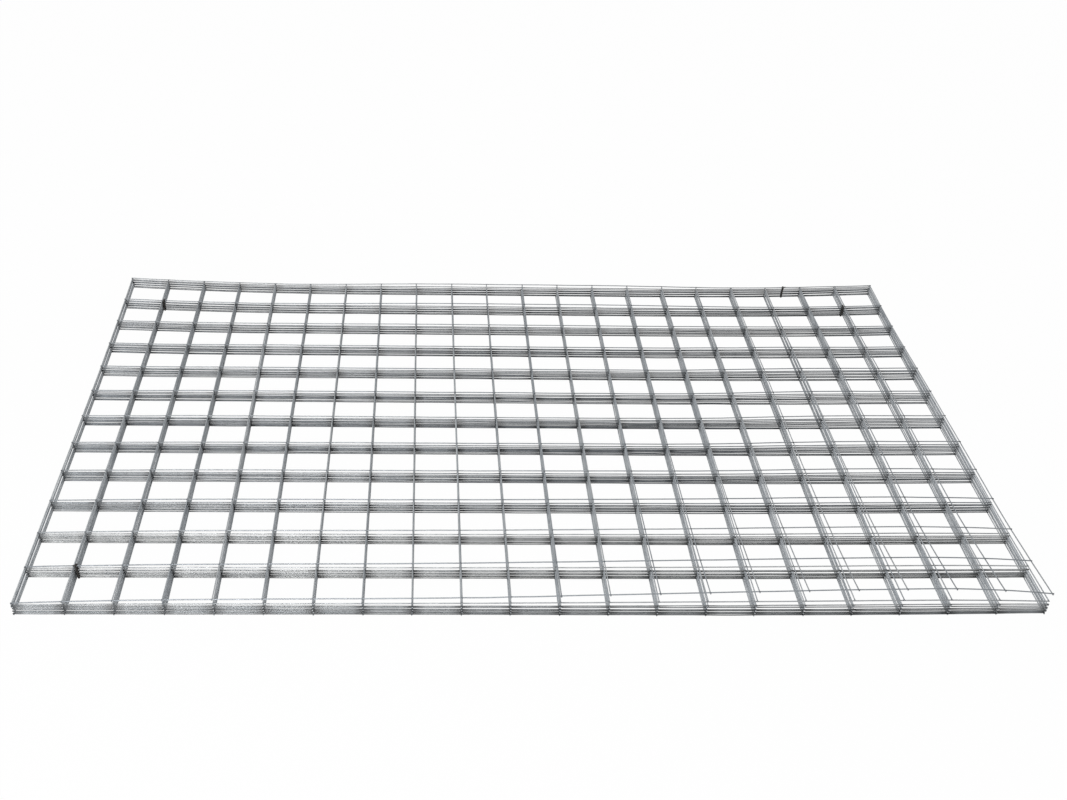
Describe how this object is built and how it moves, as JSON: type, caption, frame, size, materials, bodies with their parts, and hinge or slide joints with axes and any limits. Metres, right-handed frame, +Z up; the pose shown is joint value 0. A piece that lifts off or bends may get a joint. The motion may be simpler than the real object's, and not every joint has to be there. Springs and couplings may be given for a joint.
{
  "type": "bundle of welded wire mesh panels",
  "caption": "Flat stack of square-grid welded wire mesh panels held together by twisted tie wires, its upper sheets fanning upward at one corner.",
  "frame": {"origin": "centre of the stack's footprint, on the floor it lies on", "axes": "+X along the panels' length, +Z up off the floor, +Y across the width towards the edge with the curled corners"},
  "size_m": [2.1072, 1.2084, 0.0815],
  "materials": {
    "galvanised_wire": "satin",
    "annealed_wire": "matte"
  },
  "bodies": {
    "root": {"mesh_sheet_1": "galvanised_wire", "mesh_sheet_2": "galvanised_wire", "mesh_sheet_3": "galvanised_wire", "mesh_sheet_4": "galvanised_wire", "mesh_sheet_5": "galvanised_wire", "mesh_sheet_6": "galvanised_wire", "mesh_sheet_7": "galvanised_wire", "mesh_sheet_8": "galvanised_wire", "mesh_sheet_9": "galvanised_wire", "tie_wire_back_left": "annealed_wire", "tie_wire_back_mid": "annealed_wire", "tie_wire_back_right": "annealed_wire", "tie_wire_front_left": "annealed_wire"}
  },
  "joints": []
}
